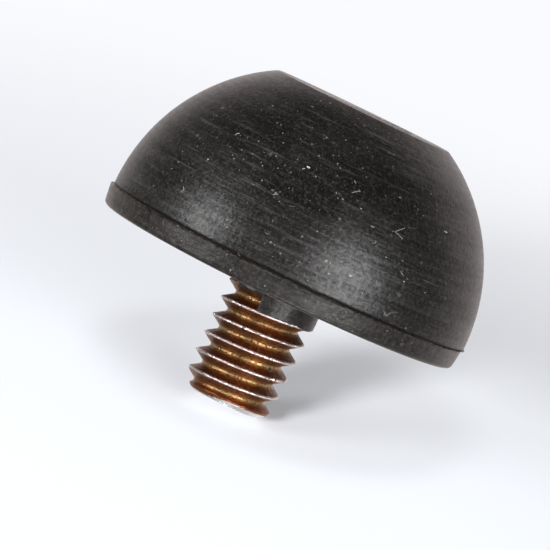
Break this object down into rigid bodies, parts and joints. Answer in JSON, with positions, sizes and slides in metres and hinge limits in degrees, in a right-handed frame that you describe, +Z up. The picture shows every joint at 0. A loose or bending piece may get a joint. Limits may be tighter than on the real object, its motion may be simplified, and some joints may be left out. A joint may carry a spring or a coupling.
{
  "type": "rubber foot",
  "caption": "Domed rubber bumper foot moulded round a threaded steel stud, screwed into the underside of bench equipment to stand it clear of the desk.",
  "frame": {"origin": "centre of the flat pad that stands on the desk", "axes": "+Z up along the stud, away from the desk; the crest of the thread leaves the seat plane 235 degrees round from +X"},
  "size_m": [0.0256, 0.0256, 0.0211],
  "materials": {
    "rubber": "satin black moulded rubber, with a greyer dusty rim band and ragged flash along the parting line",
    "stud_steel": "steel with a thin yellow-brown chromate finish, darker on the thread's flanks and worn to bare silver along the crest and on the end face"
  },
  "bodies": {
    "root": {"rubber_body": "rubber", "threaded_stud": "stud_steel"}
  },
  "joints": []
}
